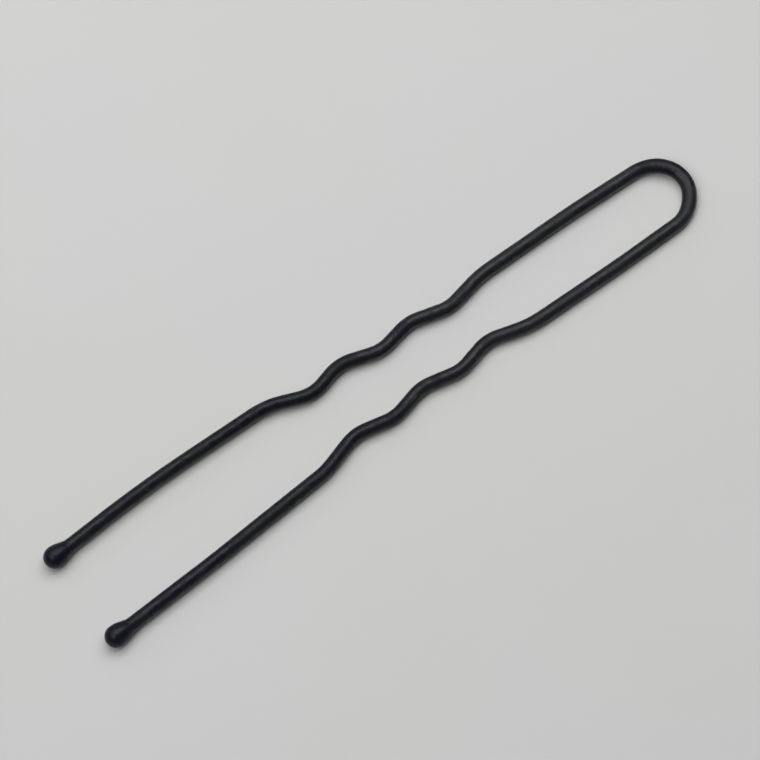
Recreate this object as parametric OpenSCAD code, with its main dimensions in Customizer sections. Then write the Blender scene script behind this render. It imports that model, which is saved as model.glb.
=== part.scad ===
// French hair pin: one round wire bent into a narrow bow, with three crimps in each leg,
// and a ball tip on each end. It lies flat, with the bow towards +X and the left leg at +Y.
// Lengths along a leg count from the crown of the bow, and widths from the pin's middle line,
// both to the middle of the wire.

/* [Pin] */
// Length over all, from the bow to the ball tips
pin_length = 65; // [60:1:80]
// Thickness of the lacquered wire
wire_d = 1.2; // [0.9:0.1:1.4]

/* [Bow] */
// Width of the bow between its two sides
bow_w = 6; // [5:0.1:8]
// Bend radius at the crown of the bow
crown_r = 2.45; // [1.9:0.05:2.8]
// Angle that the crown bend takes, before the softer shoulders
crown_turn = 76; // [60:1:90]

/* [Plain runs] */
// Distance of the left leg from the middle line where its crimps begin
left_run_out = 3.03; // [2.8:0.01:4]
// Distance of the right leg from the middle line where its crimps begin
right_run_out = 3.2; // [2.8:0.01:4]
// Height of the soft belly in each plain run
run_belly = 0.12; // [0.05:0.01:0.4]

/* [Crimps] */
// Distance from the crown to the first valley of the left leg
left_first = 23.5; // [20:0.1:28]
// Distance from the crown to the first valley of the right leg
right_first = 22.8; // [20:0.1:28]
// Length of one crimp, from valley to valley
crimp_pitch = 7.05; // [6:0.05:8]
// Height of the first crest over the first valley, between the corner points
crimp_depth = 0.95; // [0.6:0.05:1.3]
// Width between the corner points of the two first valleys
waist_w = 4.3; // [3.6:0.1:5.2]
// Bend radius of valleys and crests
crimp_r = 3.7; // [2.2:0.1:4.4]

/* [Long ends] */
// Distance of the left ball from the middle line
left_tip_out = 3.25; // [2.4:0.05:6]
// Distance of the right ball from the middle line
right_tip_out = 5.4; // [2.4:0.05:7]
// Height of the soft belly in the left long end
left_belly = 0.42; // [0.1:0.02:1]
// Height of the soft belly in the right long end
right_belly = 0.12; // [0.1:0.02:1]
// Bend radius of the soft bellies
belly_r = 110; // [60:5:140]
// How much sooner the right leg ends than the left one
right_short = 0.2; // [0:0.1:1]

/* [Ball tips] */
// Diameter of the ball
ball_d = 1.95; // [1.7:0.05:2.2]
// Length of the neck, from the middle of the ball
neck_len = 1.3; // [1.2:0.05:1.7]
// Thickness of the neck's thin edge round the wire
neck_edge = 0.05; // [0.04:0.01:0.07]
// How far the wire reaches past the middle of the ball
wire_past = 0.3; // [0.1:0.05:0.4]
// Clearance between the wire and the bore of its ball tip
bore_gap = 0.02; // [0.02:0.01:0.04]

/* [Hidden] */
$fn = 64;

LEFT = 0;
RIGHT = 1;
run_out = [left_run_out, right_run_out];
first = [left_first, right_first];
tip_out = [left_tip_out, right_tip_out];
tip_belly = [left_belly, right_belly];

// The crimps of a leg, a row for each bend: its place along in crimp pitches from the first valley,
// its place out in crimp depths from the waist, and its radius in crimp radii
left_bends = [
  [0, 0, 1],
  [0.53, 1, 1],
  [1, 0.18, 1],
  [1.52, 1.37, 1],
  [2, 0.33, 1],
  [2.54, 1.9, 2],
];
right_bends = [
  [0, 0, 1],
  [0.48, 1, 1],
  [1, 0.2, 1],
  [1.47, 1.17, 1],
  [2, 0.38, 1],
  [2.54, 1.7, 2],
];
bends = [left_bends, right_bends];

// The bend into the first slope: crimp pitches before the first valley, and radius in crimp radii
lead_in = 0.54;
lead_ease = 2.7;
// Where the soft bellies are, as shares of the stretch that they are in
run_belly_at = 0.45;
tip_belly_at = 0.55;
// Straight length between the crown bend and a shoulder
shoulder_run = 0.3;

// A bend is this share thicker than the straights, which run a little way into it. So the two
// meet in one clean step of a few microns.
swell = 0.008;
// Radius of a ball's taper, as a share of one that would curve right down to the neck's edge
neck_ease = 0.87;
// Share of the cone's length that the taper goes on under it
taper_past = 0.75;
// How deep a taper sinks into its ball, and the neck's cone into the taper, so that their meeting
// lines are clean
neck_bite = 0.01;
// Overshoot of a bore past the face that it opens
past = 0.1;

wire_r = wire_d / 2;
bend_wire_r = wire_r * (1 + swell);
ball_r = ball_d / 2;
tip_along = [
  pin_length - wire_r - ball_r,
  pin_length - wire_r - ball_r - right_short,
];

// The pin lies on its two balls and the crown of the bow, so the wire leans by this angle
lean = asin((ball_r - bend_wire_r) / tip_along[LEFT]);

// A corner is [place along, place out, bend radius], and the wire rounds it at that radius
function along_of(c) = c[0];
function out_of(c) = c[1];
function radius_of(c) = c[2];

// The way from one point to the next
function step(a, b) = [along_of(b) - along_of(a), out_of(b) - out_of(a)];
// Direction from one point to the next
function heading(a, b) = atan2(out_of(step(a, b)), along_of(step(a, b)));
// Distance between two points
function span(a, b) = norm(step(a, b));
// Point between two others, moved outwards
function between(a, b, share, outwards) =
  [along_of(a), out_of(a) + outwards] + share * step(a, b);

// End of the crown bend, and the corner of the shoulder after it
crown_end = crown_r * [1 - cos(crown_turn / 2), sin(crown_turn / 2)];
shoulder = crown_end + (bow_w / 2 - out_of(crown_end)) * [tan(crown_turn / 2), 1];

// Corners of one leg, from the crown bend to the middle of the ball
function corners(s) =
  let (
    entry = [first[s] - lead_in * crimp_pitch, run_out[s]],
    belly = between(shoulder, entry, run_belly_at, run_belly),
    crimps = [for (b = bends[s]) [
      first[s] + along_of(b) * crimp_pitch,
      waist_w / 2 + out_of(b) * crimp_depth,
      radius_of(b) * crimp_r,
    ]],
    tip = [tip_along[s], tip_out[s]],
    tail = between(crimps[len(crimps) - 1], tip, tip_belly_at, tip_belly[s]),
    shoulder_turn = abs(heading(shoulder, belly) - heading(crown_end, shoulder)),
    shoulder_r = (span(crown_end, shoulder) - shoulder_run) / tan(shoulder_turn / 2)
  )
  concat(
    [[each crown_end, crown_r], [each shoulder, shoulder_r]],
    [[each belly, belly_r], [each entry, lead_ease * crimp_r]],
    crimps,
    [[each tail, belly_r], [each tip, 0]]
  );

// Angle that the wire turns at corner i of the list c
function turn(c, i) = i == 0 || i == len(c) - 1 ? 0 : heading(c[i], c[i + 1]) - heading(c[i - 1], c[i]);
// Length that the bend at a corner takes from the straight on either side of it
function cut(c, i) = i == 0 ? 0 : radius_of(c[i]) * tan(abs(turn(c, i)) / 2);
// Straight length after corner i
function straight(c, i) = span(c[i], c[i + 1]) - cut(c, i) - cut(c, i + 1);
// How far a straight runs into a bend of radius r
function lap(r) = sqrt(r * swell * wire_r);

// Half the width that the leg needs on its side of the middle line
function reach(s) = max(max([for (c = corners(s)) out_of(c)]) + wire_r, tip_out[s] + ball_r);

// A straight along +X
module rod(before, len, after) {
  translate([-before, 0, 0])
    rotate([0, 90, 0])
      cylinder(h = before + len + after, d = wire_d);
}

// A bend that starts at the origin along +X and turns towards +Y, or towards -Y below zero
module bend(angle, r) {
  mirror([0, angle < 0 ? 1 : 0, 0])
    translate([0, r, 0])
      rotate([0, 0, -90])
        arc(abs(angle), r);
}

module arc(angle, r) {
  rotate_extrude(angle = angle)
    translate([r, 0])
      rotate(-90)
        circle(r = bend_wire_r);
}

// Moves what follows to the end of such a bend
module past_bend(angle, r) {
  side = angle < 0 ? -r : r;
  translate([0, side, 0])
    rotate([0, 0, angle])
      translate([0, -side, 0])
        children();
}

// Follows a leg from corner i to its end, where the children stand, and draws its wire if asked
module walk(c, i, draw) {
  len = straight(c, i);
  next = i + 1;
  at_end = next == len(c) - 1;
  if (draw) rod(lap(radius_of(c[i])), len, at_end ? wire_past : lap(radius_of(c[next])));
  translate([len, 0, 0]) {
    if (at_end) children();
    else {
      if (draw) bend(turn(c, next), radius_of(c[next]));
      past_bend(turn(c, next), radius_of(c[next])) walk(c, next, draw) children();
    }
  }
}

// Lays the pin on the ground, in the middle of the frame
module laid() {
  translate([pin_length / 2 - wire_r, (reach(RIGHT) - reach(LEFT)) / 2, bend_wire_r])
    rotate([0, lean, 0])
      translate([-crown_r, 0, 0])
        children();
}

// One leg, seen from the middle of the crown bend
module leg(s, draw) {
  mirror([0, s == LEFT ? 1 : 0, 0])
    rotate([0, 0, -crown_turn / 2])
      translate([crown_r, 0, 0])
        rotate([0, 0, -90])
          walk(corners(s), 0, draw) children();
}

// Half section of a ball and its neck. Behind its widest place the ball tapers in a softer curve,
// and a straight cone runs from there to the neck's edge round the wire.
module bead_section() {
  edge = [wire_r + bore_gap + neck_edge, -neck_len];
  fall = ball_r - edge.x;
  taper_r = neck_ease * (fall ^ 2 + neck_len ^ 2) / (2 * fall);
  taper_mid = [ball_r - taper_r - neck_bite, 0];
  to_edge = edge - taper_mid;
  cone_r = taper_r - neck_bite;
  cone_angle = atan2(to_edge.y, to_edge.x) + acos(cone_r / norm(to_edge));
  cone_top = taper_mid + cone_r * [cos(cone_angle), sin(cone_angle)];
  taper_low = cone_top.y + taper_past * (edge.y - cone_top.y);
  difference() {
    union() {
      intersection() {
        circle(r = ball_r);
        translate([0, -ball_r]) square([ball_r, ball_d]);
      }
      intersection() {
        translate(taper_mid) circle(r = taper_r, $fn = 256);
        translate([0, taper_low]) square([ball_r, -taper_low]);
      }
      polygon([[0, -neck_len], edge, cone_top, [0, 0]]);
    }
    translate([0, -neck_len - past])
      square([wire_r + bore_gap, neck_len + past + wire_past + bore_gap]);
  }
}

module bead() {
  rotate([0, 90, 0])
    rotate_extrude()
      bead_section();
}

module wire() {
  color([0.11, 0.11, 0.12])
    laid() {
      rotate([0, 0, -crown_turn / 2]) arc(crown_turn, crown_r);
      leg(LEFT, true);
      leg(RIGHT, true);
    }
}

module ball_tip(s) {
  color([0.08, 0.08, 0.1])
    laid() leg(s, false) bead();
}

wire();
ball_tip(LEFT);  // ball_tip_left
ball_tip(RIGHT);  // ball_tip_right
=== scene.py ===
"""French hair pin of black lacquered wire, dressed and lit on a pale table.

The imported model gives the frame. The bent wire and its two ball tips are made again here as smooth
meshes, each with its own finish. They keep to the path of the solids, apart from shifts of less than
a quarter of a millimetre. Sizes of the pin are in millimetres, and meshes are in metres.
"""

import logging
import math
from dataclasses import dataclass, field
from enum import Enum
from typing import Iterator, Optional, Sequence

import bpy
import numpy as np
from bpy.types import ID, Material, Node, NodeSocket, NodeTree, Object
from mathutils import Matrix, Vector


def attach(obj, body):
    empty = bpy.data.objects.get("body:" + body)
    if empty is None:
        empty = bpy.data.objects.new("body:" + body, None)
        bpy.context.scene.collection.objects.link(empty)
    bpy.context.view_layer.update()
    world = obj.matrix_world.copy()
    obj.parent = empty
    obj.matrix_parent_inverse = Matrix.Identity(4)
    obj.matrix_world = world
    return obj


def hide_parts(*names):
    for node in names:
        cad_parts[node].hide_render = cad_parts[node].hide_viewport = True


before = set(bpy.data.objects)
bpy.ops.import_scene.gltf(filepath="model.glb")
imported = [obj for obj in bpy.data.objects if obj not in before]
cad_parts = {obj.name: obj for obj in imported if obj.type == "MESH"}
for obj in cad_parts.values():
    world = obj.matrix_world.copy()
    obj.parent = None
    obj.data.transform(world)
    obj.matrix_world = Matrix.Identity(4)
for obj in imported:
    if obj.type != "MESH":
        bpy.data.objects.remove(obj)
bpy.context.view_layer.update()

MM = 0.001
BODY = "root"
STRAIGHTENED = "straightened"  # a point's place on the straightened wire, from the crown, in metres
BEND_SIDE = "bend_side"  # 1 on the outside of a tight bend, -1 on its inside
STRAIGHT_STEP = 0.5  # longest step between two samples of a straight
BEND_STEP = 0.3  # longest step between two samples of a bend
BEND_ANGLE = 0.07  # widest angle between them, in radians
MIX_FIRST, MIX_SECOND, MIX_RESULT = 6, 7, 2  # the colour sockets of a mix node

log = logging.getLogger("hair_pin")

Array = np.ndarray
Pair = tuple[float, float]
Colour = tuple[float, float, float]
Row = tuple[float, float, float, float]  # place along and out, direction and outward curvature


# Sizes and path


class Side(Enum):
    """The two legs, each with the sign of Y on its side of the middle line."""

    LEFT = 1
    RIGHT = -1


@dataclass(frozen=True)
class LegSizes:
    """What differs from one leg to the other.

    Attributes:
        side: The side of the middle line that the leg is on.
        run_out: Distance from the middle line where the crimps begin.
        first: Distance from the crown of the bow to the first valley.
        tip_out: Distance of the ball from the middle line.
        tip_belly: Height of the soft belly in the long end.
        short: How much sooner the leg ends than the longer one.
        bends: A row for each crimp bend: its place along in pitches from the first valley, its
            place out in depths from the waist, and its radius in crimp radii.
    """

    side: Side
    run_out: float
    first: float
    tip_out: float
    tip_belly: float
    short: float
    bends: tuple[tuple[float, float, float], ...]


LEFT_LEG = LegSizes(
    side=Side.LEFT,
    run_out=3.03,
    first=23.5,
    tip_out=3.25,
    tip_belly=0.42,
    short=0.0,
    bends=((0, 0, 1), (0.53, 1, 1), (1, 0.18, 1), (1.52, 1.37, 1), (2, 0.33, 1), (2.54, 1.9, 2)),
)
RIGHT_LEG = LegSizes(
    side=Side.RIGHT,
    run_out=3.2,
    first=22.8,
    tip_out=5.4,
    tip_belly=0.12,
    short=0.2,
    bends=((0, 0, 1), (0.48, 1, 1), (1, 0.2, 1), (1.47, 1.17, 1), (2, 0.38, 1), (2.54, 1.7, 2)),
)


@dataclass(frozen=True)
class Corner:
    """A corner of the wire's path, which the wire rounds at a radius.

    Attributes:
        along: Distance from the crown of the bow.
        out: Distance from the middle line.
        radius: Bend radius to the middle of the wire.
    """

    along: float
    out: float
    radius: float

    def way_to(self, other: "Corner") -> Array:
        """Returns the way from this corner to another, along and out."""
        return np.array([other.along - self.along, other.out - self.out])

    def between(self, other: "Corner", share: float, belly: float, radius: float) -> "Corner":
        """Makes a corner at a share of the way to another, moved out by the height of a belly."""
        along, out = share * self.way_to(other)
        return Corner(self.along + along, self.out + out + belly, radius)


def heading(way: Array) -> float:
    """Returns the direction of a way along and out, in radians."""
    return math.atan2(way[1], way[0])


def bend_rows(start: Array, ahead: float, turn: float, radius: float) -> list[Row]:
    """Samples one bend of a path, without its first point.

    Args:
        start: Where the bend starts, along and out.
        ahead: Direction there.
        turn: Angle of the bend, positive outwards.
        radius: Its radius.

    Returns:
        Its samples.
    """
    hand = math.copysign(1.0, turn)
    centre = start + hand * radius * np.array([-math.sin(ahead), math.cos(ahead)])
    parts = max(2, math.ceil(abs(turn) * radius / min(BEND_STEP, BEND_ANGLE * radius)))
    rows = []
    for angle in np.linspace(0, turn, parts + 1)[1:]:
        now = ahead + angle
        place = centre + hand * radius * np.array([math.sin(now), -math.cos(now)])
        rows.append((*place, now, hand / radius))
    return rows


@dataclass
class Line3D:
    """The middle line of the wire where the pin lies, in millimetres.

    Attributes:
        places: One point a row.
        ahead: Unit direction at each point.
        side: Unit vector to the left of the way ahead, level with the pin.
        curves: Signed curvature, positive where the wire turns to its left.
    """

    places: Array
    ahead: Array
    side: Array
    curves: Array

    @property
    def travelled(self) -> Array:
        """Distance along the wire at each point."""
        steps = np.linalg.norm(np.diff(self.places, axis=0), axis=1)
        return np.concatenate([[0.0], np.cumsum(steps)])


@dataclass(frozen=True)
class Pin:
    """The bent wire's sizes, and its path where it lies on the table.

    Attributes:
        length: Length over all.
        wire_r: Radius of the lacquered wire.
        ball_r: Radius of a ball tip.
        bow_w: Width of the bow between its two sides.
        crown_r: Bend radius at the crown of the bow.
        crown_turn: Angle that the crown bend takes, in degrees.
        shoulder_run: Straight length between the crown bend and a shoulder.
        run_belly: Height of the soft belly in each plain run.
        run_belly_at: Where that belly is, as a share of the run.
        crimp_pitch: Length of one crimp.
        crimp_depth: Height of the first crest over the first valley.
        waist_w: Width between the two first valleys.
        crimp_r: Bend radius of valleys and crests.
        lead_in: Pitches from the bend into the first slope to the first valley.
        lead_ease: Radius of that bend in crimp radii.
        tip_belly_at: Where the belly of a long end is, as a share of it.
        belly_r: Bend radius of the soft bellies.
        wire_past: How far the wire reaches past the middle of a ball.
        swell: Share by which the bends of the solids are thicker than their straights.
    """

    length: float = 65.0
    wire_r: float = 0.6
    ball_r: float = 0.975
    bow_w: float = 6.0
    crown_r: float = 2.45
    crown_turn: float = 76.0
    shoulder_run: float = 0.3
    run_belly: float = 0.12
    run_belly_at: float = 0.45
    crimp_pitch: float = 7.05
    crimp_depth: float = 0.95
    waist_w: float = 4.3
    crimp_r: float = 3.7
    lead_in: float = 0.54
    lead_ease: float = 2.7
    tip_belly_at: float = 0.55
    belly_r: float = 110.0
    wire_past: float = 0.3
    swell: float = 0.008

    @property
    def bed_z(self) -> float:
        """Height of the wire's middle at the crown of the bow."""
        return self.wire_r * (1 + self.swell)

    def tip_along(self, leg: LegSizes) -> float:
        """Returns the distance from the crown to the middle of a leg's ball."""
        return self.length - self.wire_r - self.ball_r - leg.short

    @property
    def lean(self) -> float:
        """Angle of the wire to the table, in radians."""
        return math.asin((self.ball_r - self.bed_z) / self.tip_along(LEFT_LEG))

    def corners(self, leg: LegSizes) -> list[Corner]:
        """Lists the corners of one leg.

        Args:
            leg: The leg's own sizes.

        Returns:
            Its corners, from the end of the crown bend to the middle of the ball.
        """
        half_turn = math.radians(self.crown_turn / 2)
        crown_out = self.crown_r * math.sin(half_turn)
        crown_end = Corner(self.crown_r * (1 - math.cos(half_turn)), crown_out, self.crown_r)
        rise = self.bow_w / 2 - crown_out
        shoulder = Corner(crown_end.along + rise * math.tan(half_turn), self.bow_w / 2, 0.0)
        entry_at = leg.first - self.lead_in * self.crimp_pitch
        entry = Corner(entry_at, leg.run_out, self.lead_ease * self.crimp_r)
        belly = shoulder.between(entry, self.run_belly_at, self.run_belly, self.belly_r)
        crimps = [
            Corner(
                leg.first + along * self.crimp_pitch,
                self.waist_w / 2 + out * self.crimp_depth,
                radius * self.crimp_r,
            )
            for along, out, radius in leg.bends
        ]
        tip = Corner(self.tip_along(leg), leg.tip_out, 0.0)
        tail = crimps[-1].between(tip, self.tip_belly_at, leg.tip_belly, self.belly_r)
        first_way = crown_end.way_to(shoulder)
        shoulder_turn = abs(heading(shoulder.way_to(belly)) - heading(first_way))
        shoulder_r = (np.linalg.norm(first_way) - self.shoulder_run) / math.tan(shoulder_turn / 2)
        shoulder = Corner(shoulder.along, shoulder.out, float(shoulder_r))
        return [crown_end, shoulder, belly, entry, *crimps, tail, tip]

    def reach(self, leg: LegSizes) -> float:
        """Returns the width that a leg needs on its side of the middle line."""
        widest = max(corner.out for corner in self.corners(leg))
        return max(widest + self.wire_r, leg.tip_out + self.ball_r)

    @property
    def middle_y(self) -> float:
        """Where the pin's middle line lies, with its box in the middle of the frame."""
        return (self.reach(RIGHT_LEG) - self.reach(LEFT_LEG)) / 2

    def trace(self, leg: LegSizes) -> tuple[Array, Array, Array]:
        """Samples the middle of one leg's wire, from the crown to its end inside the ball.

        Args:
            leg: The leg's own sizes.

        Returns:
            Points, directions and curvatures in the pin's own plan: X towards the bow, Y to the left.
        """
        rows: list[Row] = [(0.0, 0.0, math.pi / 2, -1 / self.crown_r)]
        crown_half = math.radians(self.crown_turn / 2)
        rows += bend_rows(np.zeros(2), math.pi / 2, -crown_half, self.crown_r)
        corners = self.corners(leg)
        cut_before = 0.0
        for i, corner in enumerate(corners[:-1]):
            way = corner.way_to(corners[i + 1])
            length = float(np.linalg.norm(way))
            ahead = heading(way)
            unit = way / length
            start = np.array([corner.along, corner.out]) + cut_before * unit
            at_end = i + 2 == len(corners)
            turn, radius = 0.0, 0.0
            if not at_end:
                turn = heading(corners[i + 1].way_to(corners[i + 2])) - ahead
                radius = corners[i + 1].radius
            cut = radius * math.tan(abs(turn) / 2)
            run = length - cut_before - cut + (self.wire_past if at_end else 0.0)
            parts = max(2, math.ceil(run / STRAIGHT_STEP))
            for distance in np.linspace(0, run, parts + 1)[1:]:
                rows.append((*(start + distance * unit), ahead, 0.0))
            if not at_end:
                rows += bend_rows(start + run * unit, ahead, turn, radius)
            cut_before = cut
        samples = np.array(rows)
        flip = np.array([-1.0, leg.side.value])
        ways = np.array([[math.cos(ahead), math.sin(ahead)] for ahead in samples[:, 2]])
        return samples[:, :2] * flip, ways * flip, samples[:, 3]

    def turned(self, plan: Array) -> Array:
        """Turns directions of the pin's own plan as it leans on the table."""
        x, y = plan[:, 0], plan[:, 1]
        return np.stack([x * math.cos(self.lean), y, -x * math.sin(self.lean)], 1)

    def laid(self, plan: Array) -> Array:
        """Lays points of the pin's own plan on the table."""
        crown = np.array([self.length / 2 - self.wire_r, self.middle_y, self.bed_z])
        return self.turned(plan) + crown

    def up(self) -> Array:
        """Returns the unit vector away from the table, as the pin leans."""
        return np.array([math.sin(self.lean), 0.0, math.cos(self.lean)])

    def whole(self) -> Line3D:
        """Joins the two legs.

        Returns:
            The line from the left leg's end over the bow to the right leg's end.
        """
        left, left_way, left_curve = self.trace(LEFT_LEG)
        right, right_way, right_curve = self.trace(RIGHT_LEG)
        plan = np.concatenate([left[:0:-1], right])
        ways = np.concatenate([-left_way[:0:-1], right_way])
        curves = np.concatenate([left_curve[:0:-1], right_curve])
        sides = np.stack([-ways[:, 1], ways[:, 0]], 1)
        return Line3D(self.laid(plan), self.turned(ways), self.turned(sides), curves)

    def tip_frame(self, leg: LegSizes) -> tuple[Array, Array, Array]:
        """Finds where a leg's ball is.

        Args:
            leg: The leg's own sizes.

        Returns:
            The middle of the ball, the way out of its end, and the level side vector.
        """
        _, ways, _ = self.trace(leg)
        middle = np.array([[-self.tip_along(leg), leg.side.value * leg.tip_out]])
        way = ways[-1:]
        side = np.stack([-way[:, 1], way[:, 0]], 1)
        return self.laid(middle)[0], self.turned(way)[0], self.turned(side)[0]


# Meshes


def put(name: str, data: ID) -> Object:
    """Puts an object in the scene.

    Args:
        name: Its name.
        data: The mesh, lamp or camera that it shows.

    Returns:
        The object.
    """
    made = bpy.data.objects.new(name, data)
    bpy.context.scene.collection.objects.link(made)
    return made


@dataclass
class RingMesh:
    """A closed mesh of rings from one pole to another.

    Attributes:
        around: Number of points in a ring.
        rings: One array a ring, with a row for each of its points: the point, its straightened
            place, both in millimetres, and its bend value.
        sharp_ring: The ring whose edges are sharp, if there is one.
    """

    around: int
    rings: list[Array] = field(default_factory=list)
    sharp_ring: Optional[int] = None

    def add(self, ring: Array, place: Array, bend: Array) -> None:
        """Adds a ring of points, with their straightened places and their bend values."""
        self.rings.append(np.column_stack([ring, place, bend]))

    def faces(self) -> Iterator[tuple[int, ...]]:
        """Yields the faces, with a fan at either pole."""
        first = 1
        last = first + (len(self.rings) - 1) * self.around
        end_pole = last + self.around
        for k in range(self.around):
            after = (k + 1) % self.around
            yield 0, first + after, first + k
            yield end_pole, last + k, last + after
        for low in range(first, last, self.around):
            high = low + self.around
            for k in range(self.around):
                after = (k + 1) % self.around
                yield low + k, low + after, high + after, high + k

    def build(self, name: str) -> Object:
        """Makes the object, with a pole in the middle of its first and last rings.

        Args:
            name: The piece's name.

        Returns:
            The object, in metres, with smooth faces and its two attributes.
        """
        poles = [np.mean(self.rings[end], axis=0)[None] for end in (0, -1)]
        rows = np.concatenate([poles[0], *self.rings, poles[1]])
        mesh = bpy.data.meshes.new(name)
        mesh.from_pydata((rows[:, :3] * MM).tolist(), [], list(self.faces()))
        mesh.polygons.foreach_set("use_smooth", [True] * len(mesh.polygons))
        place = mesh.attributes.new(STRAIGHTENED, "FLOAT_VECTOR", "POINT")
        place.data.foreach_set("vector", (rows[:, 3:6] * MM).ravel())
        bend = mesh.attributes.new(BEND_SIDE, "FLOAT", "POINT")
        bend.data.foreach_set("value", rows[:, 6])
        if self.sharp_ring is not None:
            low = 1 + self.sharp_ring * self.around
            for edge in mesh.edges:
                edge.use_edge_sharp = all(low <= end < low + self.around for end in edge.vertices)
        mesh.update()
        return put(name, mesh)


def dress(piece: Object, material: Material, replaced: Sequence[str]) -> Object:
    """Gives a piece its material and its place in the frame.

    Args:
        piece: The piece.
        material: Its material.
        replaced: The solids that it stands for.

    Returns:
        The piece.
    """
    piece.data.materials.append(material)
    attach(piece, BODY)
    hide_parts(*replaced)
    return piece


def report(piece: Object) -> None:
    """Logs a piece's name, its faces and its box in millimetres.

    Args:
        piece: The piece.
    """
    corners = np.array([piece.matrix_world @ Vector(c) for c in piece.bound_box]) / MM
    ends = [", ".join(f"{v:.3f}" for v in end) for end in (corners.min(0), corners.max(0))]
    log.info("%s: %d faces, from %s to %s", piece.name, len(piece.data.polygons), *ends)


# Nodes


@dataclass
class NodeBench:
    """A node tree and the short calls that fill it.

    Attributes:
        tree: The tree.
    """

    tree: NodeTree

    def add(self, kind: str, title: str, **settings: object) -> Node:
        """Adds a node.

        Args:
            kind: The node's type.
            title: What it is for.
            **settings: Its properties.

        Returns:
            The node.
        """
        node = self.tree.nodes.new(kind)
        node.label = title
        for name, value in settings.items():
            setattr(node, name, value)
        return node

    def feed(self, node: Node, values: dict[object, object]) -> Node:
        """Feeds a node's inputs with sockets, which it links, or with plain values.

        Args:
            node: The node.
            values: What goes into each input, by its name or its number.

        Returns:
            The node.
        """
        for key, value in values.items():
            if isinstance(value, NodeSocket):
                self.tree.links.new(value, node.inputs[key])
            else:
                node.inputs[key].default_value = value
        return node

    def place(self, group: NodeTree, title: str, **values: object) -> Node:
        """Places a shared group, fed by the names of its inputs."""
        return self.feed(self.add("ShaderNodeGroup", title, node_tree=group), values)

    def attribute(self, name: str) -> Node:
        """Adds a node that reads one of a piece's own attributes."""
        return self.add("ShaderNodeAttribute", name, attribute_type="GEOMETRY", attribute_name=name)

    def math(self, operation: str, title: str, *values: object, clamp: bool = False) -> NodeSocket:
        """Adds a math node, which can keep its result from 0 to 1, and returns its output."""
        node = self.add("ShaderNodeMath", title, operation=operation, use_clamp=clamp)
        return self.feed(node, dict(enumerate(values))).outputs[0]

    def noise(
        self, title: str, place: object, scale: object, detail: float, rough: float = 0.5
    ) -> NodeSocket:
        """Adds a noise texture and returns its value, about 0.5 on average."""
        values = {"Vector": place, "Scale": scale, "Detail": detail, "Roughness": rough}
        return self.feed(self.add("ShaderNodeTexNoise", title), values).outputs[0]

    def remap(
        self, title: str, value: object, ends: Pair, low: float = 0.0, high: float = 1.0
    ) -> NodeSocket:
        """Maps the values between two ends smoothly on to those from low to high."""
        node = self.add("ShaderNodeMapRange", title, interpolation_type="SMOOTHSTEP")
        return self.feed(node, dict(enumerate((value, *ends, low, high)))).outputs[0]

    def relief(self, height: NodeSocket, full: float) -> NodeSocket:
        """Returns the normals of a relief whose height of 1 stands for so many metres."""
        bump = self.add("ShaderNodeBump", "surface relief")
        return self.feed(bump, {"Distance": full, "Height": height}).outputs[0]

    def blend(self, title: str, share: object, low: object, high: object) -> NodeSocket:
        """Mixes two colours by the share of the second one, and returns the mixed colour."""
        node = self.add("ShaderNodeMix", title, data_type="RGBA")
        return self.feed(node, {0: share, MIX_FIRST: low, MIX_SECOND: high}).outputs[MIX_RESULT]


class SocketKind(Enum):
    """Kinds of group socket."""

    VALUE = "NodeSocketFloat"
    COLOUR = "NodeSocketColor"
    PLACE = "NodeSocketVector"


TINTS = dict.fromkeys(("Tint", "Other", "Colour"), SocketKind.COLOUR)
SOCKET_KINDS = {"Place": SocketKind.PLACE, **TINTS}  # all others are values


def rgba(colour: Colour) -> tuple[float, float, float, float]:
    """Returns an opaque colour."""
    return (*colour, 1.0)


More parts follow.
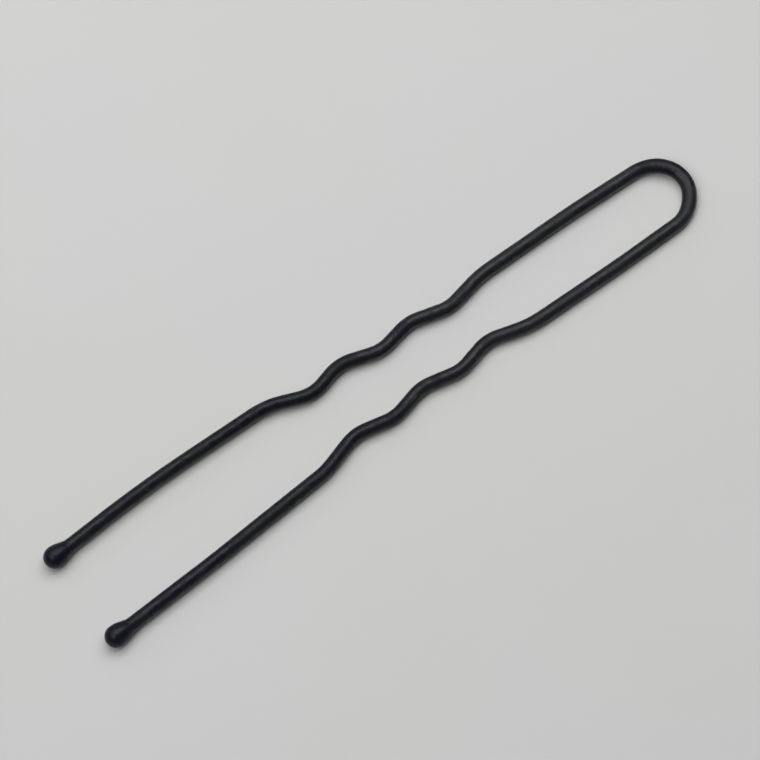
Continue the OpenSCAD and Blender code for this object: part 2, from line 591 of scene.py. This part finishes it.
class Effects:
    """The node groups that the finishes share, each made once.

    The pairs are values of a noise where something begins and where it is full.
    """

    FINE_WAVES = 3.4  # waves of the fine ripple for each wave of the broad one
    FINE_SHARE = 0.25  # share of the fine ripple in the height of both
    PATCH_WAVES = 0.5  # waves of the haze for each wave of the broad ripple
    PATCH_ENDS = (0.38, 0.62)
    RUB_WAVES = 0.07  # waves of the rubs along the wire for each wave across it
    RUB_ENDS = (0.6, 0.72)
    WORN_WAVES = 0.045  # waves of the rubbed patches for each rub across
    WORN_ENDS = (0.47, 0.66)
    DRIFT_ENDS = (0.36, 0.64)

    def __init__(self) -> None:
        """Makes the groups."""
        self.ripple = self.make_ripple()
        self.marks = self.make_marks()
        self.drift = self.make_drift()

    @staticmethod
    def start(
        name: str, taken: Sequence[str], given: Sequence[str]
    ) -> tuple[NodeBench, list[NodeSocket], Node]:
        """Starts a group.

        Args:
            name: The group's name.
            taken: The names of its inputs.
            given: The names of its outputs.

        Returns:
            Its bench, the sockets of its inputs and the node that takes its outputs.
        """
        bench = NodeBench(bpy.data.node_groups.new(name, "ShaderNodeTree"))
        for way, titles in {"INPUT": taken, "OUTPUT": given}.items():
            for title in titles:
                kind = SOCKET_KINDS.get(title, SocketKind.VALUE).value
                bench.tree.interface.new_socket(name=title, in_out=way, socket_type=kind)
        inputs = bench.add("NodeGroupInput", "in").outputs[: len(taken)]
        return bench, inputs, bench.add("NodeGroupOutput", "out")

    def make_ripple(self) -> NodeTree:
        """Makes the soft ripple that a coating dries with.

        Returns:
            The group. It takes Place and Waves, a metre, and gives Height and Haze from 0 to 1.
        """
        sockets = ["Place", "Waves"], ["Height", "Haze"]
        bench, (place, waves), given = self.start("coating_ripple", *sockets)
        broad = bench.noise("broad ripple", place, waves, detail=1.0)
        finer = bench.math("MULTIPLY", "finer waves", waves, self.FINE_WAVES)
        fine = bench.noise("fine ripple", place, finer, detail=2.0)
        share = bench.math("MULTIPLY", "fine share", fine, self.FINE_SHARE)
        height = bench.math("MULTIPLY_ADD", "height", broad, 1 - self.FINE_SHARE, share)
        slow = bench.math("MULTIPLY", "slow waves", waves, self.PATCH_WAVES)
        patches = bench.noise("haze patches", place, slow, detail=3.0, rough=0.7)
        haze = bench.remap("haze", patches, self.PATCH_ENDS)
        bench.feed(given, {"Height": height, "Haze": haze})
        return bench.tree

    def make_marks(self) -> NodeTree:
        """Makes the fine rubs that handling leaves in a coating.

        Returns:
            The group. It takes Place, Lines, a metre across them, and Amount, and gives Mask from
            0 to 1. The rubs run along the first axis of Place.
        """
        sockets = ["Place", "Lines", "Amount"], ["Mask"]
        bench, (place, across, amount), given = self.start("handling_marks", *sockets)
        stretch = bench.add("ShaderNodeVectorMath", "drawn out along the wire", operation="MULTIPLY")
        drawn_out = bench.feed(stretch, {0: place, 1: (self.RUB_WAVES, 1.0, 1.0)}).outputs[0]
        lines = bench.noise("rubbed lines", drawn_out, across, detail=2.0, rough=0.6)
        thin = bench.remap("thin lines", lines, self.RUB_ENDS)
        sparse = bench.math("MULTIPLY", "sparse waves", across, self.WORN_WAVES)
        where = bench.noise("where it was rubbed", place, sparse, detail=1.0)
        patches = bench.remap("rubbed patches", where, self.WORN_ENDS)
        both = bench.math("MULTIPLY", "lines in patches", thin, patches)
        bench.feed(given, {"Mask": bench.math("MULTIPLY", "amount", both, amount, clamp=True)})
        return bench.tree

    def make_drift(self) -> NodeTree:
        """Makes the slow drift of a colour over a surface.

        Returns:
            The group. It takes Place, Waves, a metre, Tint and Other, and gives Colour.
        """
        sockets = ["Place", "Waves", "Tint", "Other"], ["Colour"]
        bench, (place, waves, tint, other), given = self.start("tint_drift", *sockets)
        drift = bench.noise("drift", place, waves, detail=2.0)
        share = bench.remap("share of the other tint", drift, self.DRIFT_ENDS)
        bench.feed(given, {"Colour": bench.blend("tint", share, tint, other)})
        return bench.tree


def new_material(name: str) -> tuple[Material, NodeBench, Node]:
    """Starts a material with one Principled shader.

    Args:
        name: The material's name.

    Returns:
        The material, its bench and the shader.
    """
    material = bpy.data.materials.new(name)
    material.use_nodes = True
    shader = next(n for n in material.node_tree.nodes if n.type == "BSDF_PRINCIPLED")
    return material, NodeBench(material.node_tree), shader


# Finishes


@dataclass(frozen=True)
class BowFilm:
    """The thicker part of a coating's film, round the bow. Its lengths are in metres.

    Attributes:
        weight: Its weight.
        half: Length of wire on either side of the crown that it covers.
        fade: Length over which it thins out past that.
        ragged: How far haze draws that edge in.
        shoulder: Distance from the crown to the left shoulder, where it is rubbed thin.
        rubbed: Distances from the shoulder where it is still thin and where it is whole again.
        kept: Share of it that is left on the shoulder.
    """

    weight: float = 0.31
    half: float = 0.030
    fade: float = 0.012
    ragged: float = 0.010
    shoulder: float = 0.0025
    rubbed: Pair = (0.0015, 0.0026)
    kept: float = 0.1

    def spread(self, bench: NodeBench, place: NodeSocket, haze: NodeSocket, plain: float) -> NodeSocket:
        """Spreads the film along the wire.

        Args:
            bench: The material's bench.
            place: The place on the straightened wire.
            haze: The haze there.
            plain: The film's weight away from the bow.

        Returns:
            The film's weight.
        """
        axes = bench.add("ShaderNodeSeparateXYZ", "place along the wire")
        along = bench.feed(axes, {0: place}).outputs["X"]
        away = bench.math("ABSOLUTE", "distance from the crown", along)
        away = bench.math("MULTIPLY_ADD", "patchy edge", haze, self.ragged, away)
        film = bench.remap("film", away, (self.half, self.half + self.fade), self.weight, plain)
        past = bench.math("ADD", "place past the shoulder", along, self.shoulder)
        near = bench.math("ABSOLUTE", "distance from the shoulder", past)
        left = bench.remap("film kept on the shoulder", near, self.rubbed, self.kept)
        return bench.math("MULTIPLY", "film without the rubbed shoulder", film, left)


@dataclass(frozen=True)
class Coating:
    """A black coating of the pin: the lacquer of its wire or the resin of its tips.

    Attributes:
        name: Name of the material.
        tint: Its colour.
        other_tint: The colour that it drifts to.
        rubbed_tint: The colour of rubbed lines.
        gloss_rough: Roughness where it is smoothest.
        haze_rough: Roughness where it is haziest.
        polish: Roughness that the outsides of tight bends lose.
        ripple_waves: Waves of the ripple, a metre.
        ripple_height: Height of the ripple, in metres.
        mark_lines: Rubbed lines across, a metre.
        mark_amount: How much of them shows.
        specular: Strength of its reflections, where 0.5 is plain lacquer.
        film: Weight of the duller film over it.
        film_rough: Roughness of the film.
        bow_film: The thicker part of the film, if it has one.
        drift_waves: Waves of the tint's drift for each wave of the ripple.
        rubbed_rough: Roughness that rubbed lines add.
        rubbed_depth: Depth of those lines, in heights of the ripple.
        outer_ends: Bend values where the polish of an outside begins and is full.
    """

    name: str
    tint: Colour
    other_tint: Colour
    rubbed_tint: Colour
    gloss_rough: float
    haze_rough: float
    polish: float
    ripple_waves: float
    ripple_height: float
    mark_lines: float
    mark_amount: float
    specular: float
    film: float
    film_rough: float
    bow_film: Optional[BowFilm] = None
    drift_waves: float = 0.12
    rubbed_rough: float = 0.12
    rubbed_depth: float = 0.15
    outer_ends: Pair = (0.25, 1.0)

    def material(self, effects: Effects) -> Material:
        """Makes the material.

        Args:
            effects: The shared groups.

        Returns:
            The material.
        """
        made, bench, shader = new_material(self.name)
        place = bench.attribute(STRAIGHTENED).outputs["Vector"]
        ripple = bench.place(effects.ripple, "ripple", Place=place, Waves=self.ripple_waves).outputs
        rubs = {"Lines": self.mark_lines, "Amount": self.mark_amount}
        rubbed = bench.place(effects.marks, "rubs", Place=place, **rubs).outputs["Mask"]
        tints = {"Tint": rgba(self.tint), "Other": rgba(self.other_tint)}
        waves = self.ripple_waves * self.drift_waves
        drift = bench.place(effects.drift, "tint drift", Place=place, Waves=waves, **tints).outputs[0]
        ends = (self.gloss_rough, self.haze_rough)
        rough = bench.remap("coating roughness", ripple["Haze"], (0.0, 1.0), *ends)
        rough = bench.math("MULTIPLY_ADD", "rubs are rougher", rubbed, self.rubbed_rough, rough)
        if self.polish:
            bend = bench.attribute(BEND_SIDE).outputs["Fac"]
            outside = bench.remap("outsides of bends", bend, self.outer_ends)
            rough = bench.math("MULTIPLY_ADD", "crests are polished", outside, -self.polish, rough)
        height = bench.math("MULTIPLY_ADD", "relief", rubbed, -self.rubbed_depth, ripple["Height"])
        values = {
            "Base Color": bench.blend("rubbed colour", rubbed, drift, rgba(self.rubbed_tint)),
            "Roughness": rough,
            "Normal": bench.relief(height, self.ripple_height),
            "Specular IOR Level": self.specular,
            "Coat Roughness": self.film_rough,
            "Coat Weight": self.film,
        }
        bench.feed(shader, values)
        if self.bow_film is not None:
            film = self.bow_film.spread(bench, place, ripple["Haze"], self.film)
            bench.feed(shader, {"Coat Weight": film})
        return made


LACQUER = Coating(
    name="black_lacquer",
    tint=(0.0077, 0.0077, 0.0128),
    other_tint=(0.0080, 0.0098, 0.0108),
    rubbed_tint=(0.045, 0.045, 0.047),
    gloss_rough=0.26,
    haze_rough=0.50,
    polish=0.05,
    ripple_waves=1500.0,
    ripple_height=0.000080,
    mark_lines=9000.0,
    mark_amount=1.0,
    specular=0.184,
    film=0.04,
    film_rough=0.55,
    bow_film=BowFilm(),
)
RESIN = Coating(
    name="black_tip_resin",
    tint=(0.0064, 0.0063, 0.0145),
    other_tint=(0.0078, 0.0085, 0.0108),
    rubbed_tint=(0.026, 0.026, 0.028),
    gloss_rough=0.27,
    haze_rough=0.46,
    polish=0.0,
    ripple_waves=1300.0,
    ripple_height=0.000060,
    mark_lines=8000.0,
    mark_amount=0.5,
    specular=0.17,
    film=0.03,
    film_rough=0.5,
)


@dataclass(frozen=True)
class TableFinish:
    """The pale matt surface that the pin lies on.

    Attributes:
        tint: Its colour.
        other_tint: The colour that it drifts to.
        rough: Its roughness.
        drift_waves: Waves of the drift, a metre.
        tooth_waves: Waves of its fine tooth, a metre.
        tooth_height: Height of that tooth, in metres.
        specular: Strength of its reflections.
    """

    tint: Colour = (0.606, 0.606, 0.607)
    other_tint: Colour = (0.604, 0.607, 0.594)
    rough: float = 0.85
    drift_waves: float = 30.0
    tooth_waves: float = 2600.0
    tooth_height: float = 0.000004
    specular: float = 0.3

    def material(self, effects: Effects) -> Material:
        """Makes the material.

        Args:
            effects: The shared groups.

        Returns:
            The material.
        """
        made, bench, shader = new_material("pale_table")
        place = bench.add("ShaderNodeTexCoord", "place on the table").outputs["Object"]
        tints = {"Tint": rgba(self.tint), "Other": rgba(self.other_tint)}
        drift = bench.place(effects.drift, "tint drift", Place=place, Waves=self.drift_waves, **tints)
        tooth = bench.place(effects.ripple, "tooth", Place=place, Waves=self.tooth_waves)
        values = {
            "Base Color": drift.outputs["Colour"],
            "Normal": bench.relief(tooth.outputs["Height"], self.tooth_height),
            "Roughness": self.rough,
            "Specular IOR Level": self.specular,
        }
        bench.feed(shader, values)
        return made


# Pieces


@dataclass(frozen=True)
class Bump:
    """A smooth local change along the wire.

    Attributes:
        height: The change at its top.
        at: Where that is, along the wire from the crown, and below zero on the left leg's side.
        fade: Distance over which it fades out on either side.
        flat: Half the length of its flat top.
    """

    height: float
    at: float
    fade: float
    flat: float = 0.0

    def rise(self, along: Array) -> Array:
        """Returns the change at each distance along the wire from the crown."""
        share = np.clip((np.abs(along - self.at) - self.flat) / self.fade, 0.0, 1.0)
        return self.height * (0.5 + 0.5 * np.cos(math.pi * share))


@dataclass
class CrimpedWire:
    """The bent wire: bow, plain runs, crimps and long ends in one piece.

    Attributes:
        pin: The pin's sizes and path.
        lifts: How its left plain run and the left shoulder of its bow stand off the table, by a
            slight twist.
        swells: Shares by which it is wider round the bow and narrower on its long ends.
        corner: How the left shoulder is bent out a little further than the other.
        press: Share by which the bending tool has pressed the crown wider, on its inner side.
        around: Points in a ring.
        flattening: Share by which the bending tools thin the wire in its tightest bends.
        film: How much thinner than nominal the lacquer is at most.
        sways: The slow swells of that lacquer, in radians a millimetre.
        sway_step: How far each starts after the one before, in radians.
        evened: Samples over which the thinning of a bend is evened out.
        end_round: Radius of the wire's cut ends.
        end_steps: Rings that draw each of them.
    """

    pin: Pin
    lifts: tuple[Bump, ...] = (
        Bump(height=0.09, at=-10.0, fade=10.0),
        Bump(height=0.22, at=-1.9, fade=3.6),
    )
    swells: tuple[Bump, ...] = (
        Bump(height=0.018, at=0.0, fade=10.0, flat=20.0),
        Bump(height=-0.03, at=-49.5, fade=6.0, flat=5.5),
        Bump(height=-0.015, at=49.5, fade=6.0, flat=5.5),
    )
    corner: Bump = Bump(height=0.06, at=-2.2, fade=2.2)
    press: Bump = Bump(height=0.075, at=0.0, fade=2.0, flat=2.4)
    around: int = 40
    flattening: float = 0.012
    film: float = 0.003
    sways: tuple[float, ...] = (0.31, 0.73, 1.37)
    sway_step: float = 2.1
    evened: int = 5
    end_round: float = 0.08
    end_steps: int = 4

    def thickness(self, travelled: Array) -> Array:
        """Returns the wire's radius at each distance, with the slow swell of its lacquer."""
        waves = [np.sin(travelled * sway + self.sway_step * i) for i, sway in enumerate(self.sways)]
        return self.pin.wire_r * (1 - self.film * (0.5 + 0.5 * sum(waves) / len(waves)))

    def build(self, material: Material) -> Object:
        """Sweeps the wire along its path and closes its ends.

        Args:
            material: The lacquer.

        Returns:
            The dressed piece.
        """
        line, up = self.pin.whole(), self.pin.up()
        from_crown = line.travelled - line.travelled[np.argmax(line.places[:, 0])]
        radii = self.thickness(line.travelled)
        lift = sum(bump.rise(from_crown) for bump in self.lifts)
        pressed = self.press.rise(from_crown)
        wider = pressed + sum(bump.rise(from_crown) for bump in self.swells)
        shift = self.corner.rise(from_crown) - self.pin.wire_r * pressed
        middles = line.places + lift[:, None] * up + shift[:, None] * line.side
        tight = np.clip(np.abs(line.curves) * self.pin.crimp_r, 0.0, 1.0)
        tight = np.pad(tight, self.evened // 2, mode="edge")
        tight = np.convolve(tight, np.full(self.evened, 1 / self.evened), mode="valid")
        angles = np.linspace(0, 2 * math.pi, self.around, endpoint=False)
        mesh = RingMesh(self.around)
        last = len(radii) - 1
        cap = self.rounding()
        rings = [(0, inset, share) for inset, share in cap]
        rings += [(i, 0.0, 1.0) for i in range(1, last)]
        rings += [(last, -inset, share) for inset, share in reversed(cap)]
        for index, inset, shrink in rings:
            width = 1 - self.flattening * tight[index] + wider[index]
            across = shrink * radii[index] * width * np.cos(angles)
            upright = shrink * radii[index] * (1 + self.flattening * tight[index] / 2) * np.sin(angles)
            middle = middles[index] + inset * line.ahead[index]
            ring = middle + np.outer(across, line.side[index]) + np.outer(upright, up)
            along = from_crown[index] + inset
            place = np.stack([np.full(self.around, along), across, upright], 1)
            hand = -math.copysign(1.0, line.curves[index]) * tight[index]
            mesh.add(ring, place, hand * np.cos(angles))
        piece = mesh.build("crimped_wire")
        return dress(piece, material, ["wire"])

    def rounding(self) -> list[Pair]:
        """Lists a cut end's rings: how far in each one is, and its share of the radius."""
        r, turns = self.end_round, np.linspace(0, math.pi / 2, self.end_steps)
        return [(r - r * math.cos(a), 1 - r / self.pin.wire_r * (1 - math.sin(a))) for a in turns]


LOBE_START = {Side.LEFT: 0.9, Side.RIGHT: 2.3}  # turn of the lobes of each tip, in radians


@dataclass
class BallTip:
    """The rounded resin tip on the end of one leg.

    Attributes:
        pin: The pin's sizes and path.
        leg: The leg that it is on.
        around: Points in a ring.
        skin: How far its surface stays inside the solid's.
        taper_r: Radius of the curve behind its widest place.
        cone: Angle of the neck's straight cone, in degrees.
        fillet_r: Radius with which the neck runs out on to the wire.
        film: Thickness of the neck's edge.
        bore_gap: Clearance round the wire inside it.
        bore_past: How far the bore reaches past the wire's end.
        bore_end: Radii of the rings that close the bore, as shares of its own.
        first_angle: Angle of the first ring on the half ball, from its pole, in radians.
        points: Points along the half ball, the curve, the cone, the fillet and the bore.
        uneven: How far its surface pulls in unevenly, as a share of its radius.
        lobe_twist: Turn of its uneven lobes along it, in radians a millimetre.
        lobe_rise: Height over the wire where they are full, in ball radii.
    """

    pin: Pin
    leg: LegSizes
    around: int = 56
    skin: float = 0.004
    taper_r: float = 2.5
    cone: float = 19.5
    fillet_r: float = 0.7
    film: float = 0.008
    bore_gap: float = 0.003
    bore_past: float = 0.02
    bore_end: tuple[float, ...] = (0.66, 0.33)
    first_angle: float = 0.08
    points: tuple[int, ...] = (22, 8, 6, 7, 8)
    uneven: float = 0.012
    lobe_twist: float = 3.0
    lobe_rise: float = 0.3

    def profile(self) -> tuple[list[Pair], list[Pair]]:
        """Draws the tip as distances beyond the middle of the ball and from its axis.

        Returns:
            Its outside, from the end of the tip to the edge of its neck, and the blind bore that
            holds the wire, from there to its end.
        """
        ball_r = self.pin.ball_r - self.skin
        steep = math.radians(self.cone)
        round_end = np.linspace(self.first_angle, math.pi / 2, self.points[0])
        points = [(ball_r * math.cos(a), ball_r * math.sin(a)) for a in round_end]
        for a in np.linspace(0, steep, self.points[1] + 1)[1:]:
            points.append((-self.taper_r * math.sin(a), ball_r - self.taper_r * (1 - math.cos(a))))
        top_x, top_r = points[-1]
        edge_r = self.pin.wire_r + self.film
        corner_x = top_x - (top_r - edge_r) / math.tan(steep)
        cut = self.fillet_r * math.tan(steep / 2)
        foot = (corner_x + cut * math.cos(steep), edge_r + cut * math.sin(steep))
        for share in np.linspace(0, 1, self.points[2] + 1)[1:]:
            points.append((top_x + share * (foot[0] - top_x), top_r + share * (foot[1] - top_r)))
        for a in np.linspace(steep, 0, self.points[3] + 1)[1:]:
            x = corner_x - cut + self.fillet_r * math.sin(a)
            points.append((x, edge_r + self.fillet_r * (1 - math.cos(a))))
        bore_r = self.pin.wire_r + self.bore_gap
        end_x = self.pin.wire_past + self.bore_past
        bore = [(x, bore_r) for x in np.linspace(points[-1][0], end_x, self.points[4])]
        return points, bore + [(end_x, bore_r * share) for share in self.bore_end]

    def pull(self, angle: Array, x: float, r: float) -> Array:
        """Works out how a ring pulls in.

        Args:
            angle: The angle of each of its points.
            x: Its distance beyond the middle of the ball.
            r: Its radius.

        Returns:
            The share of that radius that each point keeps.
        """
        pin = self.pin
        start = LOBE_START[self.leg.side]
        lobes = (2 + np.sin(angle + start) + np.sin(2 * angle + self.lobe_twist * x + start)) / 4
        free = np.clip((r - pin.wire_r) / (pin.ball_r * self.lobe_rise), 0.0, 1.0)
        return 1 - self.uneven * free * lobes

    def build(self, material: Material) -> Object:
        """Turns the profile round the wire's axis.

        Args:
            material: The resin.

        Returns:
            The dressed piece.
        """
        middle, out, side = self.pin.tip_frame(self.leg)
        up = self.pin.up()
        angles = np.linspace(0, 2 * math.pi, self.around, endpoint=False)
        outside, bore = self.profile()
        start = self.pin.length * self.leg.side.value
        rings = [(x, r * self.pull(angles, x, r)) for x, r in outside]
        rings += [(x, np.full(self.around, r)) for x, r in bore]
        mesh = RingMesh(self.around, sharp_ring=len(outside) - 1)
        for x, radii in rings:
            across, upright = radii * np.cos(angles), radii * np.sin(angles)
            ring = middle + x * out + np.outer(across, side) + np.outer(upright, up)
            place = np.stack([np.full(self.around, x + start), across, upright], 1)
            mesh.add(ring, place, np.zeros(self.around))
        name = self.leg.side.name.lower()
        piece = mesh.build(f"ball_tip_{name}_resin")
        return dress(piece, material, [f"ball_tip_{name}"])


# Stage


@dataclass(frozen=True)
class SoftBox:
    """A flat soft lamp.

    Attributes:
        name: Its name.
        place: Where its middle hangs, in metres.
        size: Its two sides, in metres.
        tilt: How it is turned from facing straight down, about X and then about Y, in degrees.
        power: Its power, in watts.
    """

    name: str
    place: tuple[float, float, float]
    size: Pair
    tilt: Pair
    power: float

    def hang(self) -> None:
        """Hangs the lamp."""
        data = bpy.data.lights.new(self.name, "AREA")
        data.shape = "RECTANGLE"
        data.size, data.size_y = self.size
        data.energy = self.power
        lamp = put(self.name, data)
        lamp.location = self.place
        lamp.rotation_euler = (math.radians(self.tilt[0]), math.radians(self.tilt[1]), 0.0)


@dataclass
class Studio:
    """The table, the lamps and the room round them.

    Attributes:
        table_size: Side of the table, in metres.
        lamps: The lamps. The main one hangs over the far side of the left leg, with a dimmer one
            beside it. A small one hangs beyond the ball tips, and a wide dim one, low behind the
            far side, softens the shadows' edges.
        room: Brightness of the room.
        backdrop: Colour of the room as the camera sees it past the table.
    """

    table_size: float = 3.0
    lamps: tuple[SoftBox, ...] = (
        SoftBox("main_lamp", (0.175, 0.172, 0.488), (0.61, 0.486), (20.0, 0.0), 2.72),
        SoftBox("fill_lamp", (-0.365, 0.172, 0.488), (0.47, 0.486), (20.0, 0.0), 0.92),
        SoftBox("side_lamp", (-0.67, -0.13, 0.99), (0.4, 0.4), (6.5, -34.0), 2.04),
        SoftBox("wall_lamp", (-0.1, 0.6, 0.5), (1.3, 0.6), (-50.0, 0.0), 1.2),
    )
    room: float = 0.073
    backdrop: Colour = (0.58, 0.58, 0.58)

    def build(self, material: Material) -> None:
        """Makes the table, level with the pin's underside, the lamps and the room.

        Args:
            material: The table's material.
        """
        half = self.table_size / 2
        mesh = bpy.data.meshes.new("table_top")
        corners = [(-half, -half, 0), (half, -half, 0), (half, half, 0), (-half, half, 0)]
        mesh.from_pydata(corners, [], [(0, 1, 2, 3)])
        mesh.materials.append(material)
        put("table_top", mesh)
        for lamp in self.lamps:
            lamp.hang()
        self.light_room()

    def light_room(self) -> None:
        """Gives the room a dim even light, and a pale tone where the camera sees it."""
        world = bpy.data.worlds.new("room")
        bpy.context.scene.world = world
        world.use_nodes = True
        bench = NodeBench(world.node_tree)
        ground = next(n for n in world.node_tree.nodes if n.type == "BACKGROUND")
        seen = bench.add("ShaderNodeLightPath", "what sees it").outputs["Is Camera Ray"]
        dim = rgba((self.room,) * 3)
        bench.feed(ground, {"Color": bench.blend("room tone", seen, dim, rgba(self.backdrop))})


@dataclass
class Viewpoint:
    """The camera.

    Attributes:
        azimuth: Direction that it looks from, in degrees. At 0 it looks along +Y.
        elevation: Its height over the horizon, in degrees.
        aim: The point in the middle of the picture, in millimetres.
        distance: Its distance from that point, in millimetres.
        focal: Its focal length in picture widths.
        sensor: Width of its sensor, in millimetres.
        sight: Nearest and furthest distance that it sees, in metres.
    """

    azimuth: float = -36.07
    elevation: float = 68.0
    aim: tuple[float, float, float] = (-0.351, 1.153, 0.75)
    distance: float = 337.8
    focal: float = 4000 / 760
    sensor: float = 36.0
    sight: Pair = (0.01, 10.0)

    def build(self) -> None:
        """Makes the camera and gives it to the scene."""
        turn, height = math.radians(self.azimuth), math.radians(self.elevation)
        level = math.cos(height)
        back = Vector((math.sin(turn) * level, -math.cos(turn) * level, math.sin(height)))
        data = bpy.data.cameras.new("camera")
        data.sensor_width = self.sensor
        data.lens = self.focal * self.sensor
        data.clip_start, data.clip_end = self.sight
        camera = put("camera", data)
        camera.location = (Vector(self.aim) + back * self.distance) * MM
        camera.rotation_mode = "QUATERNION"
        camera.rotation_quaternion = (-back).to_track_quat("-Z", "Y")
        bpy.context.scene.camera = camera


def set_tone() -> None:
    """Shows colours as they are lit, with no film curve."""
    bpy.context.scene.view_settings.view_transform = "Standard"
    bpy.context.scene.view_settings.look = "None"


def main() -> None:
    """Builds the pin, its stage and the camera, and reports each piece."""
    logging.basicConfig(level=logging.INFO, format="%(name)s: %(message)s")
    set_tone()
    effects = Effects()
    pin = Pin()
    lacquer = LACQUER.material(effects)
    resin = RESIN.material(effects)
    report(CrimpedWire(pin).build(lacquer))
    for leg in (LEFT_LEG, RIGHT_LEG):
        report(BallTip(pin, leg).build(resin))
    Studio().build(TableFinish().material(effects))
    Viewpoint().build()


if __name__ == "__main__":
    main()
